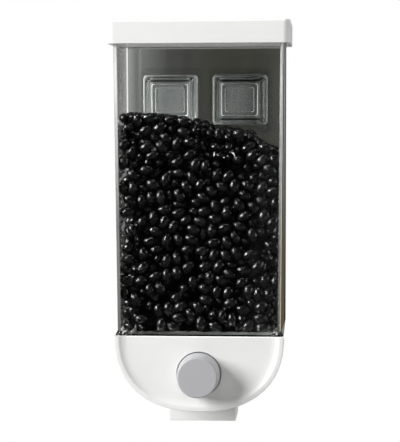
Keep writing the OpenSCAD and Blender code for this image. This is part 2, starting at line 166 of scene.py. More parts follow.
upright = (math.radians(90), 0, 0)
floor_place, floor_radius = (0, -0.3, -0.55), 0.8
backdrop_place, backdrop_size = (0, 3.2, 1.2), 7
bpy.ops.object.select_all(action="DESELECT")
bpy.ops.mesh.primitive_circle_add(
    vertices=96, radius=floor_radius, fill_type="NGON", location=floor_place)
floor = bpy.context.object
floor.name = "floor"
bpy.ops.mesh.primitive_plane_add(size=backdrop_size, location=backdrop_place, rotation=upright)
backdrop = bpy.context.object
backdrop.name = "backdrop"
for stage, share, in_gloss, paint, level in (
    (floor, 0.9, 0.02, 0.55, 1.08),
    (backdrop, 1.0, 0.3, 0.9, 1.0),
):
    material, tree, lit = new_finish(stage.name + "_white")
    lit.inputs["Base Color"].default_value = (paint, paint, paint, 1)
    lit.inputs["Roughness"].default_value = 0.8
    white_to_camera(tree, lit, share, in_gloss, level)
    stage.data.materials.append(material)


# Lid
# Injection-moulded white cover, 120 x 73 mm and 15 mm deep, with round corners and a soft
# top edge. It is pressed over the tank's rim and pulled off upwards to fill the tank.
def take_up(piece):
    """Leaves edit mode and makes this piece the only one selected."""
    if bpy.context.object and bpy.context.object.mode != "OBJECT":
        bpy.ops.object.mode_set(mode="OBJECT")
    bpy.ops.object.select_all(action="DESELECT")
    piece.select_set(True)
    bpy.context.view_layer.objects.active = piece


def pick(piece, kind, test):
    """Selects the faces, by centre and normal, or edges, by centre and run, that pass a test."""
    take_up(piece)
    bpy.context.tool_settings.mesh_select_mode = (False, kind == "EDGE", kind == "FACE")
    mesh = piece.data
    for items in (mesh.vertices, mesh.edges, mesh.polygons):
        items.foreach_set("select", [False] * len(items))
    if kind == "FACE":
        for face in mesh.polygons:
            face.select = test(face.center, face.normal)
    else:
        for edge in mesh.edges:
            a, b = (mesh.vertices[i].co for i in edge.vertices)
            edge.select = test((a + b) / 2, (b - a).normalized())
    bpy.ops.object.mode_set(mode="EDIT")


def done(piece):
    """Leaves edit mode and puts the piece's place into its mesh."""
    take_up(piece)
    bpy.ops.object.transform_apply(location=True, rotation=True, scale=True)


def block(name, low, high):
    """A box between two corners, to be shaped."""
    bpy.ops.object.select_all(action="DESELECT")
    low, high = Vector(low) * mm, Vector(high) * mm
    bpy.ops.mesh.primitive_cube_add(size=1, location=(low + high) / 2, scale=high - low)
    piece = bpy.context.object
    piece.name = piece.data.name = name
    bpy.ops.object.transform_apply(location=True, rotation=True, scale=True)
    return piece


def finish_with(piece, kind, **settings):
    """Adds a modifier, sets it and applies it."""
    take_up(piece)
    modifier = piece.modifiers.new(kind.lower(), kind)
    for key, value in settings.items():
        setattr(modifier, key, value)
    bpy.ops.object.modifier_apply(modifier=modifier.name)


def soften(piece, width, angle=35):
    """Rounds the sharp edges that a moulding never has."""
    finish_with(
        piece, "BEVEL", width=width * mm, segments=2, limit_method="ANGLE",
        angle_limit=math.radians(angle), harden_normals=False)


def seat(piece, body, slot, material, *nodes, smooth=32):
    """Smooths a finished piece, gives it its material and seats it on its body."""
    done(piece)
    bpy.ops.object.shade_smooth_by_angle(angle=math.radians(smooth))
    if smooth < 90:
        finish_with(piece, "WEIGHTED_NORMAL", keep_sharp=True, weight=80)
    if material.name not in piece.data.materials:
        piece.data.materials.append(material)
    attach(piece, body)
    if nodes:
        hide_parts(*nodes)


def place_on(tree):
    """Where a point lies on the object."""
    return tree.nodes.new("ShaderNodeTexCoord").outputs["Object"]


def noise(tree, place, scale, detail=2):
    """Soft noise, whose scale is a number or a socket."""
    texture = tree.nodes.new("ShaderNodeTexNoise")
    texture.inputs["Detail"].default_value = detail
    tree.links.new(place, texture.inputs["Vector"])
    if isinstance(scale, (int, float)):
        texture.inputs["Scale"].default_value = scale
    else:
        tree.links.new(scale, texture.inputs["Scale"])
    return texture.outputs["Fac"]


def scaled(tree, colour, factor):
    """A colour made darker or lighter by a factor."""
    node = tree.nodes.new("ShaderNodeVectorMath")
    node.operation = "SCALE"
    tree.links.new(colour, node.inputs[0])
    tree.links.new(factor, node.inputs["Scale"])
    return node.outputs[0]


def moulding_group():
    """Shade of a moulded plastic: faint flow marks, a fine grain and uneven gloss."""
    group = bpy.data.node_groups.new("moulded_surface", "ShaderNodeTree")
    sockets = group.interface
    sockets.new_socket("Tint", in_out="INPUT", socket_type="NodeSocketColor")
    for name, value in (("Mottle", 0.05), ("Grain", 900.0), ("Roughness", 0.4)):
        given = sockets.new_socket(name, in_out="INPUT", socket_type="NodeSocketFloat")
        given.default_value = value
    sockets.new_socket("Color", in_out="OUTPUT", socket_type="NodeSocketColor")
    sockets.new_socket("Roughness", in_out="OUTPUT", socket_type="NodeSocketFloat")
    sockets.new_socket("Height", in_out="OUTPUT", socket_type="NodeSocketFloat")
    given = group.nodes.new("NodeGroupInput").outputs
    out = group.nodes.new("NodeGroupOutput").inputs
    flow_scale, gloss_spread = 28, 0.12
    flow = noise(group, place_on(group), flow_scale, detail=3)
    grain = noise(group, place_on(group), given["Grain"], detail=1)
    shade = maths(group, "SUBTRACT", 1.0, maths(group, "MULTIPLY", flow, given["Mottle"]))
    gloss = maths(group, "MULTIPLY_ADD", grain, gloss_spread, given["Roughness"])
    group.links.new(scaled(group, given["Tint"], shade), out["Color"])
    group.links.new(gloss, out["Roughness"])
    group.links.new(grain, out["Height"])
    return group


moulded_surface = moulding_group()


def moulded(name, tint, roughness, mottle=0.05, grain=900.0, relief=0.02, coat=0.0):
    """An opaque moulded plastic."""
    material, tree, plastic = new_finish(name)
    surface = tree.nodes.new("ShaderNodeGroup")
    surface.node_tree = moulded_surface
    surface.inputs["Tint"].default_value = (*tint, 1)
    surface.inputs["Mottle"].default_value = mottle
    surface.inputs["Grain"].default_value = grain
    surface.inputs["Roughness"].default_value = roughness
    bump = tree.nodes.new("ShaderNodeBump")
    bump.inputs["Strength"].default_value = 0.3
    bump.inputs["Distance"].default_value = relief * mm
    tree.links.new(surface.outputs["Color"], plastic.inputs["Base Color"])
    tree.links.new(surface.outputs["Roughness"], plastic.inputs["Roughness"])
    tree.links.new(surface.outputs["Height"], bump.inputs["Height"])
    tree.links.new(bump.outputs["Normal"], plastic.inputs["Normal"])
    plastic.inputs["Coat Weight"].default_value = coat
    plastic.inputs["Coat Roughness"].default_value = 0.15
    return material


lid_tint = (0.93, 0.93, 0.915)
lid_white = moulded("lid_white", lid_tint, 0.36, mottle=0.03)
lid_x, lid_front, lid_back, lid_foot, lid_top = 60.0, -74.5, -1.5, 36.2, 51.5
lid_wall, lid_roof, lid_corner, lid_round = 2.0, 2.2, 5, 1.6
lid = block("lid", (-lid_x, lid_front, lid_foot), (lid_x, lid_back, lid_top))
pick(lid, "EDGE", lambda c, run: abs(run.z) > 0.9)
bpy.ops.mesh.bevel(offset=lid_corner * mm, segments=10, affect="EDGES")
done(lid)
pick(lid, "FACE", lambda c, n: n.z < -0.9)
bpy.ops.mesh.inset(thickness=lid_wall * mm)
bpy.ops.mesh.extrude_region_move(
    TRANSFORM_OT_translate={"value": (0, 0, (lid_top - lid_foot - lid_roof) * mm)})
done(lid)
pick(lid, "EDGE", lambda c, run: abs(run.z) < 0.1 and c.z > (lid_top - 0.1) * mm)
bpy.ops.mesh.bevel(offset=lid_round * mm, segments=5, affect="EDGES")
done(lid)
soften(lid, 0.35)

# Painted light: the inside of the lid's skirt glows a little, as if light came through the lid's
# plastic onto its shaded inner faces.
lid_skirt_painted_glow = moulded("lid_skirt_painted_glow", lid_tint, 0.36, mottle=0.03)
glow = lid_skirt_painted_glow.node_tree.nodes["Principled BSDF"].inputs
glow["Emission Color"].default_value = (1.0, 0.99, 0.96, 1)
glow["Emission Strength"].default_value = 0.14
lid.data.materials.append(lid_white)
lid.data.materials.append(lid_skirt_painted_glow)
lid_middle = (lid_front + lid_back) / 2
for face in lid.data.polygons:
    c, n = face.center / mm, face.normal
    faces_in = n.x * c.x < 0 or n.y * (c.y - lid_middle) < 0
    if faces_in and c.z < lid_top - lid_roof and abs(n.z) < 0.5:
        face.material_index = 1
seat(lid, "lid", "lid_plastic", lid_white, "lid_shell")


# Tank
# One clear moulding with 1.5 mm walls: it narrows a little to its foot, has two keyhole
# pockets in its back wall for the hooks, and a sloped shoulder and neck above the base.
def by_axis(tree):
    """Where a point lies on the object, axis by axis."""
    apart = tree.nodes.new("ShaderNodeSeparateXYZ")
    tree.links.new(place_on(tree), apart.inputs[0])
    return apart.outputs


def between(tree, value, low, high, to_low=0.0, to_high=1.0):
    """A value taken from one range to another, and held at its ends."""
    node = tree.nodes.new("ShaderNodeMapRange")
    node.inputs["From Min"].default_value = low
    node.inputs["From Max"].default_value = high
    node.inputs["To Min"].default_value = to_low
    node.inputs["To Max"].default_value = to_high
    tree.links.new(value, node.inputs["Value"])
    return node.outputs[0]


def ramp(tree, value, stops):
    """A colour that changes with a value."""
    node = tree.nodes.new("ShaderNodeValToRGB")
    elements = node.color_ramp.elements
    while len(elements) < len(stops):
        elements.new(0.5)
    for stop, (position, colour) in zip(elements, stops):
        stop.position = position
        stop.color = (*colour, 1)
    tree.links.new(value, node.inputs["Fac"])
    return node.outputs["Color"]


def mixed(tree, share, first, second):
    """One colour or colour socket turning into another."""
    node = tree.nodes.new("ShaderNodeMix")
    node.data_type = "RGBA"
    for slot, colour in (("A", first), ("B", second)):
        if isinstance(colour, tuple):
            node.inputs[slot].default_value = (*colour, 1)
        else:
            tree.links.new(colour, node.inputs[slot])
    tree.links.new(share, node.inputs["Factor"])
    return node.outputs["Result"]


def grazing(tree, blend=0.5):
    """0 where a surface is seen square on, 1 where it is seen edge on."""
    angle = tree.nodes.new("ShaderNodeLayerWeight")
    angle.inputs["Blend"].default_value = blend
    return angle.outputs["Facing"]


tank_tint = (0.985, 0.99, 0.985)
tank_x, tank_y = (-56.0, 56.0), (-70.5, -5.5)
pocket_x = 24.0


def clear_plastic(name):
    """Clear plastic with an uneven polish, which lets the lamps' light through."""
    material, tree, plastic = new_finish(name)
    plastic.inputs["Transmission Weight"].default_value = 1.0
    plastic.inputs["IOR"].default_value = 1.25
    plastic.inputs["Base Color"].default_value = (*tank_tint, 1)
    haze = noise(tree, place_on(tree), 60, detail=3)
    tree.links.new(between(tree, haze, 0, 1, 0.02, 0.06), plastic.inputs["Roughness"])
    open_air = tree.nodes.new("ShaderNodeBsdfTransparent")
    open_air.inputs["Color"].default_value = (*tank_tint, 1)
    in_shadow = tree.nodes.new("ShaderNodeLightPath").outputs["Is Shadow Ray"]
    show_mix(tree, in_shadow, plastic.outputs[0], open_air.outputs[0])
    return material


def painted_shade_along(tree, axis, run, stops):
    """Painted shade that changes along one axis, in faint upright streaks of painted reflection.
    """
    across = between(tree, by_axis(tree)[axis], run[0] * mm, run[1] * mm)
    drawn_out = tree.nodes.new("ShaderNodeMapping")
    drawn_out.inputs["Scale"].default_value = (1.0, 1.0, 0.12)
    tree.links.new(place_on(tree), drawn_out.inputs["Vector"])
    streaks = between(tree, noise(tree, drawn_out.outputs[0], 55), 0.3, 0.7, 0.6, 1.4)
    return scaled(tree, ramp(tree, across, stops), streaks)


def tint_with(material, colour):
    """Gives a clear plastic its colour."""
    tree = material.node_tree
    tree.links.new(colour, tree.nodes["Principled BSDF"].inputs["Base Color"])


def tint_moulding(material, colour):
    """Gives a moulded plastic its tint."""
    tree = material.node_tree
    surface = next(node for node in tree.nodes if node.type == "GROUP")
    tree.links.new(colour, surface.inputs["Tint"])


def from_pocket(tree):
    """How far a point lies sideways and upwards from the middle of its hook pocket."""
    place = by_axis(tree)
    aside = maths(tree, "SUBTRACT", maths(tree, "ABSOLUTE", place["X"]), pocket_x * mm)
    return maths(tree, "ABSOLUTE", aside), maths(tree, "ABSOLUTE", place["Z"])


def paint_end_on(material, low, high):
    """Paints light and shade as a plain colour where a clear plastic is seen end on:
    reflections, pale ends and dark bands, in two ramps from front to back."""
    tree = material.node_tree
    low_z, high_z = -100, 20
    depth = between(tree, by_axis(tree)["Y"], tank_y[0] * mm, tank_y[1] * mm)
    height = between(tree, by_axis(tree)["Z"], low_z * mm, high_z * mm)
    # A plain colour of painted reflection and shade, shown where the plastic is seen end on.
    painted_end_look = tree.nodes.new("ShaderNodeBsdfDiffuse")
    colour = mixed(tree, height, ramp(tree, depth, low), ramp(tree, depth, high))
    tree.links.new(colour, painted_end_look.inputs["Color"])
    clear = tree.nodes["Material Output"].inputs["Surface"].links[0].from_socket
    show_mix(tree, between(tree, grazing(tree), 0.80, 0.92), clear, painted_end_look.outputs[0])


tank_clear = clear_plastic("tank_clear")

# The right wall's outer face, which the camera sees end on, with painted reflections and shade
# in its colour there.
tank_outer = clear_plastic("tank_outer")
paint_end_on(tank_outer, low=(
    (0.0, (0.36, 0.33, 0.27)), (0.18, (0.09, 0.075, 0.045)), (0.38, (0.19, 0.16, 0.10)),
    (0.60, (0.12, 0.10, 0.06)), (0.72, (0.02, 0.016, 0.008)), (0.92, (0.03, 0.024, 0.012)),
    (1.0, (0.4, 0.38, 0.35)),
), high=(
    (0.0, (0.50, 0.50, 0.49)), (0.22, (0.40, 0.40, 0.39)), (0.40, (0.20, 0.20, 0.19)),
    (0.75, (0.21, 0.21, 0.20)), (1.0, (0.5, 0.5, 0.5)),
))

# The back wall above the beans: painted shade in place of what is seen through it, lighter to
# the left, and a paler painted band along the lid's foot.
tank_back = clear_plastic("tank_back")
tree = tank_back.node_tree
painted_shade = painted_shade_along(tree, "X", tank_x, (
    (0.03, (0.085, 0.088, 0.085)), (0.07, (0.026, 0.028, 0.025)),
    (0.085, (0.024, 0.026, 0.023)), (0.095, (0.048, 0.050, 0.046)),
    (0.11, (0.022, 0.024, 0.021)), (0.29, (0.0060, 0.0062, 0.0054)),
    (0.51, (0.0022, 0.0023, 0.0016)), (0.71, (0.0016, 0.0016, 0.0010)),
    (0.95, (0.0032, 0.0033, 0.0026)),
))
height = by_axis(tree)["Z"]
painted_shade_foot, painted_shade_top = -37.0, lid_foot + 0.2
# Painted light: a paler band in the last millimetre below the lid's foot.
painted_band_under_lid = between(tree, height, (painted_shade_top - 1.3) * mm, (painted_shade_top - 0.9) * mm)
painted_shade = mixed(tree, painted_band_under_lid, painted_shade, (0.052, 0.051, 0.047))
above_foot = between(tree, height, painted_shade_foot * mm, (painted_shade_foot + 1.0) * mm)
below_top = between(tree, height, (painted_shade_top + 0.3) * mm, painted_shade_top * mm)
painted_shade_share = maths(tree, "MULTIPLY", above_foot, below_top)
tint_with(tank_back, mixed(tree, painted_shade_share, tank_tint, painted_shade))

# The pockets' steps and flats, with paler painted shade than the wall round them, darker in a
# ring beyond 9.2 mm from each pocket's middle and lighter at its sides.
tank_pocket = clear_plastic("tank_pocket")
tree = tank_pocket.node_tree
painted_shade = painted_shade_along(tree, "X", tank_x, (
    (0.2, (0.095, 0.10, 0.095)), (0.8, (0.015, 0.016, 0.0145))))
aside, upwards = from_pocket(tree)
groove_from, groove_loss = 9.2, 0.4
flank_from, flank_gain = 11.8, 1.3
in_groove = maths(tree, "GREATER_THAN", maths(tree, "MAXIMUM", aside, upwards), groove_from * mm)
on_flank = maths(tree, "GREATER_THAN", aside, flank_from * mm)
loss = maths(tree, "MULTIPLY", in_groove, groove_loss)
gain = maths(tree, "MULTIPLY", on_flank, flank_gain)
level = maths(tree, "ADD", maths(tree, "SUBTRACT", 1.0, loss), gain)
tint_with(tank_pocket, scaled(tree, painted_shade, level))

# The side walls' inner faces, with painted shade only where they are seen edge on, paler towards
# the back, and darker painted shade where the beans lie.
tank_side = clear_plastic("tank_side")
tree = tank_side.node_tree
painted_shade = painted_shade_along(tree, "Y", tank_y, (
    (0.0, (0.24, 0.24, 0.235)), (0.35, (0.25, 0.25, 0.245)),
    (0.7, (0.50, 0.50, 0.49)), (1.0, (0.66, 0.66, 0.65)),
))
dark_below, clear_above, darkest = -17, -16.5, 0.04
height = by_axis(tree)["Z"]
above_beans = between(tree, height, dark_below * mm, clear_above * mm, darkest)
edge_on = between(tree, grazing(tree), 0.5, 0.75)
tint_with(tank_side, mixed(tree, edge_on, tank_tint, scaled(tree, painted_shade, above_beans)))

# The front corners, right and left, where the bent wall is thick and catches the light: painted
# highlights in an opaque colour, with a warm painted reflection low on the right and painted
# shade low on the left.
right_corner_painted_glint = moulded("right_corner_painted_glint", (0.86, 0.87, 0.85), 0.2, mottle=0.2, coat=0.5)
left_corner_painted_glint = moulded("left_corner_painted_glint", (0.86, 0.87, 0.85), 0.2, mottle=0.5, coat=0.5)
wall_foot, wall_rim = -152, 49
for material, stops in (
    (right_corner_painted_glint, (
        (0.1, (0.86, 0.76, 0.56)), (0.5, (0.86, 0.84, 0.78)), (0.8, (0.86, 0.87, 0.85)))),
    (left_corner_painted_glint, (
        (0.0, (0.16, 0.16, 0.15)), (0.35, (0.24, 0.24, 0.23)),
        (0.62, (0.50, 0.50, 0.49)), (0.8, (0.80, 0.81, 0.79)))),
):
    tree = material.node_tree
    height = between(tree, by_axis(tree)["Z"], wall_foot * mm, wall_rim * mm)
    tint_moulding(material, ramp(tree, height, stops))


def pick_all(piece):
    """Selects the whole of a piece."""
    take_up(piece)
    bpy.ops.object.mode_set(mode="EDIT")
    bpy.ops.mesh.select_all(action="SELECT")


def dressed_copy(name, node):
    """A merged copy of a CAD node's mesh, with its flat faces joined up."""
    piece = bpy.data.objects.new(name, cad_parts[node].data.copy())
    scene.collection.objects.link(piece)
    piece.data.name = name
    piece.data.materials.clear()
    pick_all(piece)
    bpy.ops.mesh.remove_doubles(threshold=0.03 * mm)
    bpy.ops.mesh.dissolve_limited(angle_limit=math.radians(0.5))
    done(piece)
    return piece


tank = dressed_copy("tank_shell", "tank")
tank_finishes = (
    tank_clear, tank_back, tank_side, right_corner_painted_glint, tank_pocket, left_corner_painted_glint, tank_outer)
for finish in tank_finishes:
    tank.data.materials.append(finish)

# Its faces are told apart by where they lie and which way they face. The small faces of the
# two rooms that the hooks sit in stay clear.
tank_shoulder, tank_rim = -151.5, 48.5
back_wall_x, back_wall_y, pocket_step_y = 53.5, (-15, -6.4), -8
side_wall_x, front_corner_y = 52, -60
hook_room_x, hook_room_z, hook_room_y, hook_room_area = 17.5, 16.2, -7.2, 0.0012
for face in tank.data.polygons:
    c, n = face.center / mm, face.normal
    if not tank_shoulder < c.z < tank_rim:
        continue
    at_back = n.y < -0.15 and back_wall_y[0] < c.y < back_wall_y[1] and abs(c.x) < back_wall_x
    by_hook = abs(abs(c.x) - pocket_x) < hook_room_x and abs(c.z) < hook_room_z
    in_hook_room = by_hook and c.y > hook_room_y and face.area < hook_room_area
    at_side = abs(c.x) > side_wall_x
    at_corner = c.y < front_corner_y and abs(n.z) < 0.2
    finish = tank_clear
    if at_back and not in_hook_room:
        finish = tank_pocket if c.y < pocket_step_y else tank_back
    elif at_side and n.x * c.x < -0.9 * abs(c.x):
        finish = tank_side
    elif at_side and c.x > 0 and n.x > 0.9:
        finish = tank_outer
    elif at_corner and 0.5 < n.x < 0.8:
        finish = right_corner_painted_glint
    elif at_corner and 0.2 < -n.x < 0.93:
        finish = left_corner_painted_glint
    face.material_index = tank_finishes.index(finish)
seat(tank, "dispenser", "clear_plastic", tank_clear, "tank")

# Pocket edges
# The stepped edges of the two pockets, four round-cornered rings one inside the other, where the
# clear plastic is thick and catches the light: opaque rings of painted highlight, lighter along
# the sides than along the top and bottom.
pocket_edge_painted_glint = moulded("pocket_edge_painted_glint", (0.92, 0.93, 0.91), 0.2, mottle=0.55, coat=0.5)
tree = pocket_edge_painted_glint.node_tree
aside, upwards = from_pocket(tree)
at_sides = maths(tree, "GREATER_THAN", aside, upwards)
tint_moulding(pocket_edge_painted_glint, mixed(tree, at_sides, (0.30, 0.31, 0.30), (0.95, 0.96, 0.94)))
pocket_w, pocket_h = 37.5, 34.3
rings = []
for side in (-1, 1):
    for inset, y, girth in (
        (0.3, -7.3, 0.42),
        (3.8, -13.6, 0.42),
        (6.4, -14.0, 0.30),
        (8.9, -14.0, 0.12),
    ):
        bpy.ops.object.select_all(action="DESELECT")
        bpy.ops.mesh.primitive_plane_add(
            size=1, rotation=upright, location=(side * pocket_x * mm, y * mm, 0))
        ring = bpy.context.object
        ring.scale = ((pocket_w - 2 * inset) * mm, (pocket_h - 2 * inset) * mm, 1)
        bpy.ops.object.transform_apply(location=True, rotation=True, scale=True)
        corner = max(2.5 - inset / 4, 1)
        pick_all(ring)
        bpy.ops.mesh.bevel(offset=corner * mm, segments=5, affect="VERTICES")
        bpy.ops.mesh.select_all(action="SELECT")
        bpy.ops.mesh.delete(type="ONLY_FACE")
        bpy.ops.object.mode_set(mode="OBJECT")
        bpy.ops.object.convert(target="CURVE")
        ring = bpy.context.object
        ring.data.bevel_depth = girth * mm
        ring.data.bevel_resolution = 2
        bpy.ops.object.convert(target="MESH")
        rings.append(bpy.context.object)
bpy.ops.object.select_all(action="DESELECT")
for ring in rings:
    ring.select_set(True)
bpy.context.view_layer.objects.active = rings[0]
bpy.ops.object.join()
painted_glint_rings = rings[0]
painted_glint_rings.name = painted_glint_rings.data.name = "painted_glint_rings"
seat(painted_glint_rings, "dispenser", "clear_plastic", pocket_edge_painted_glint, smooth=60)

# Front fascia
# White half-round moulding that carries the button. A raised rim runs round its curve, and
# a concave step leads down to the slightly recessed face, which is open along the top.
base_top, fascia_half, fascia_drop = -155.2, 55.8, 49.5
fascia_front, fascia_back, fascia_wall = -75.5, -69.5, 2.0
fascia_rim, fascia_recess, fascia_round = 3.6, 1.6, 0.6
button_z, button_hole = -180.0, 14.6
white = moulded("base_white", (0.92, 0.92, 0.905), 0.38, mottle=0.03)

# Its outline is a little fuller than half an ellipse, which would bend with a power of 2.
rim_points, fascia_bend = 121, 2.3
bpy.ops.object.select_all(action="DESELECT")
bpy.ops.mesh.primitive_circle_add(
    vertices=rim_points, radius=fascia_half * mm, fill_type="NGON", rotation=upright,
    location=(0, fascia_front * mm, base_top * mm))
fascia = bpy.context.object
fascia.name = fascia.data.name = "fascia"
bpy.ops.object.transform_apply(location=True, rotation=True, scale=True)
for i, vertex in enumerate(fascia.data.vertices):
    t = math.pi * i / (rim_points - 1)
    x = fascia_half * math.copysign(abs(math.cos(t)) ** (2 / fascia_bend), math.cos(t))
    z = base_top - fascia_drop * math.sin(t) ** (2 / fascia_bend)
    vertex.co = Vector((x, fascia_front, z)) * mm
if fascia.data.polygons[0].normal.y > 0:
    fascia.data.flip_normals()
pick(fascia, "EDGE", lambda c, run: c.z < (base_top - 0.01) * mm)
bpy.ops.mesh.extrude_edges_move(
    TRANSFORM_OT_translate={"value": (0, (fascia_back - fascia_front) * mm, 0)})
done(fascia)
pick(fascia, "FACE", lambda c, n: n.y < -0.9)
for band, fall in ((3.1, 0), (1.5, 0.80), (1.6, 0.45), (2.0, 0.22), (4.5, 0.13)):
    bpy.ops.mesh.inset(thickness=band * mm, depth=-fall * mm, use_boundary=False)
done(fascia)


def on_rim(c, run):
    """Whether an edge runs round the front of the raised rim."""
    across = abs(c.x) / mm / (fascia_half - fascia_rim)
    down = abs(c.z / mm - base_top) / (fascia_drop - fascia_rim)
    inside = across ** fascia_bend + down ** fascia_bend < 1
    at_front = abs(c.y / mm - fascia_front) < 0.05 and c.z < (base_top - 0.01) * mm
    round_it = Vector((c.z - base_top * mm, 0, -c.x)).normalized()
    return at_front and not inside and abs(run.y) < 0.5 and abs(run.dot(round_it)) > 0.8


pick(fascia, "EDGE", on_rim)
bpy.ops.mesh.bevel(
    offset=fascia_round * mm, segments=3, affect="EDGES", clamp_overlap=True)
done(fascia)
pick(fascia, "EDGE", lambda c, run: c.z > (base_top - 0.01) * mm)
bpy.ops.mesh.extrude_edges_move(TRANSFORM_OT_translate={"value": (0, 3 * mm, 0)})
bpy.ops.object.mode_set(mode="OBJECT")
for vertex in fascia.data.vertices:
    if vertex.select:
        vertex.co.y = fascia_back * mm
pick_all(fascia)
bpy.ops.mesh.remove_doubles(threshold=0.02 * mm)
done(fascia)
finish_with(fascia, "SOLIDIFY", thickness=fascia_wall * mm, offset=-1, use_even_offset=True)
bpy.ops.object.select_all(action="DESELECT")
bpy.ops.mesh.primitive_cylinder_add(
    vertices=96, radius=button_hole * mm, depth=20 * mm, rotation=upright,
    location=(0, -70 * mm, button_z * mm))
drill = bpy.context.object
finish_with(fascia, "BOOLEAN", object=drill, operation="DIFFERENCE", solver="EXACT")
bpy.data.objects.remove(drill)


def on_face_edge(c, run):
    """Whether an edge of the recessed face runs along the top or round the button's hole."""
    from_button = Vector((c.x, 0, c.z - button_z * mm)).length
    at_hole = from_button < (button_hole + 0.1) * mm
    at_top = c.z > (base_top - 0.1) * mm
    return abs(c.y / mm - fascia_front - fascia_recess) < 0.1 and (at_top or at_hole)


pick(fascia, "EDGE", on_face_edge)
bpy.ops.mesh.bevel(offset=fascia_round * mm, segments=3, affect="EDGES")
done(fascia)
soften(fascia, 0.3, angle=50)
seat(fascia, "dispenser", "white_plastic", white, "front_fascia")

# Base housing
# White half-round tub behind the fascia, open to the tank above it. Two screws go in
# through the wells in its back, and the spout comes down through its floor.
housing = dressed_copy("housing", "base_housing")
soften(housing, 0.4, angle=50)
seat(housing, "dispenser", "white_plastic", white, "base_housing")

# Spout
# White chute of thin moulded walls, hung by its lips on the housing's floor. The beans fall
# straight through it into a bowl that is held underneath.
spout_white = moulded("spout_white", (0.92, 0.92, 0.905), 0.35, mottle=0.05)
spout = dressed_copy("spout_chute", "spout")
soften(spout, 0.4, angle=50)
seat(spout, "dispenser", "spout_plastic", spout_white, "spout")

# Push button
# Grey moulded cup, 28 mm across, with a flat face, a rounded edge and slightly tapered
# sides. A socket inside it is pressed on the stem, and the spring behind pushes it out.
button_grey = moulded(
    "button_grey", (0.49, 0.49, 0.51), 0.42, mottle=0.03, grain=2600, relief=0.03)
face_y, root_y, face_r, root_r, cup_wall = -89.5, -73.6, 13.3, 14.2, 2.0
socket_r, socket_run, socket_wall, button_round = 5.6, 5, 1.55, 1.2
bpy.ops.object.select_all(action="DESELECT")
bpy.ops.mesh.primitive_cone_add(
    vertices=96, radius1=root_r * mm, radius2=face_r * mm, depth=(root_y - face_y) * mm,
    rotation=upright, location=(0, (face_y + root_y) / 2 * mm, button_z * mm))
button = bpy.context.object
button.name = button.data.name = "button_cup"
done(button)
pick(button, "FACE", lambda c, n: n.y > 0.9)
for inset, inwards in (
    (cup_wall, face_y - root_y + cup_wall),
    (root_r - cup_wall - socket_r, socket_run),
    (socket_wall, -socket_run),
):
    bpy.ops.mesh.inset(thickness=inset * mm)
    bpy.ops.mesh.extrude_region_move(TRANSFORM_OT_translate={"value": (0, inwards * mm, 0)})
done(button)
pick(button, "EDGE", lambda c, run: c.y < (face_y + 0.1) * mm)
bpy.ops.mesh.bevel(offset=button_round * mm, segments=5, affect="EDGES")
seat(button, "button", "grey_plastic", button_grey, "button_cap")

# Beans
# Dry black soya beans, about 9 x 6 mm, loose in the tank. Only the outer two or three
# layers are made, round a dark heap, because nothing behind them can be seen.
bean_black, tree, skin = new_finish("bean_black")
skin.inputs["IOR"].default_value = 1.52
patches = noise(tree, place_on(tree), 130)
hue = ramp(tree, patches, ((0.35, (0.0003, 0.0003, 0.0006)), (0.65, (0.0010, 0.0009, 0.0007))))
tree.links.new(hue, skin.inputs["Base Color"])
tree.links.new(between(tree, patches, 0.48, 0.75, 0.24, 0.40), skin.inputs["Roughness"])

# Each bean settles as two balls on a line, which the tank and the other beans push about.
random = np.random.default_rng(7)
bean_count, bean_girth, bean_reach = 1020, 3.3, 1.65
level_x = np.array((-60, -52, -48, -25, -4, 6, 34, 40, 52, 60.0))
level_z = np.array((-10, -9.5, -8, -9.5, -12, -15.5, -21, -27.5, -31, -31.0))
store_low, store_high = np.array((-52.6, -68.8, -153.5)), np.array((52.6, -7.2, 0.0))
pockets_half, pockets_front, pockets_foot = 42, -14.2, -18.0
heart_half, heart_front, heart_back, heart_depth = 43.5, -57.0, -18.0, 11


def heap_top(x):
    """The height of the beans, which lie higher at the left."""
    return np.interp(x, level_x, level_z)


def side_x(z):
    """The inner half-width of the tank, which narrows from its rim to its shoulder."""
    rim_half, rim_z, narrowing, wall_run = 54.2, 49, 1.3, 201
    return rim_half - narrowing * (rim_z - z) / wall_run


def kept_in(balls):
    """Keeps the balls off the tank's walls and pockets, off the heart of the heap and under
    its top."""
    x, y, z = balls[..., 0], balls[..., 1], balls[..., 2]
    side = side_x(z) - bean_girth
    x = np.clip(x, -side, side)
    y = np.clip(y, store_low[1] + bean_girth, store_high[1] - bean_girth)
    z = np.clip(z, store_low[2] + bean_girth, heap_top(x) - bean_girth)
    behind = y > pockets_front - bean_girth
    at_pockets = behind & (z > pockets_foot - bean_girth) & (np.abs(x) < pockets_half)
    y = np.where(at_pockets, pockets_front - bean_girth, y)
    heart_top = heap_top(x) - heart_depth
    room = np.stack((heart_half - np.abs(x), y - heart_front, heart_back - y, heart_top - z))
    least = room.argmin(0)
    inside = room.min(0) > 0
    x = np.where(inside & (least == 0), np.sign(x) * heart_half, x)
    y = np.where(inside & (least == 1), heart_front, y)
    y = np.where(inside & (least == 2), heart_back, y)
    z = np.where(inside & (least == 3), heart_top, z)
    return np.stack((x, y, z), -1)


def unit(v):
    """Vectors at a length of one."""
    return v / np.linalg.norm(v, axis=-1, keepdims=True)


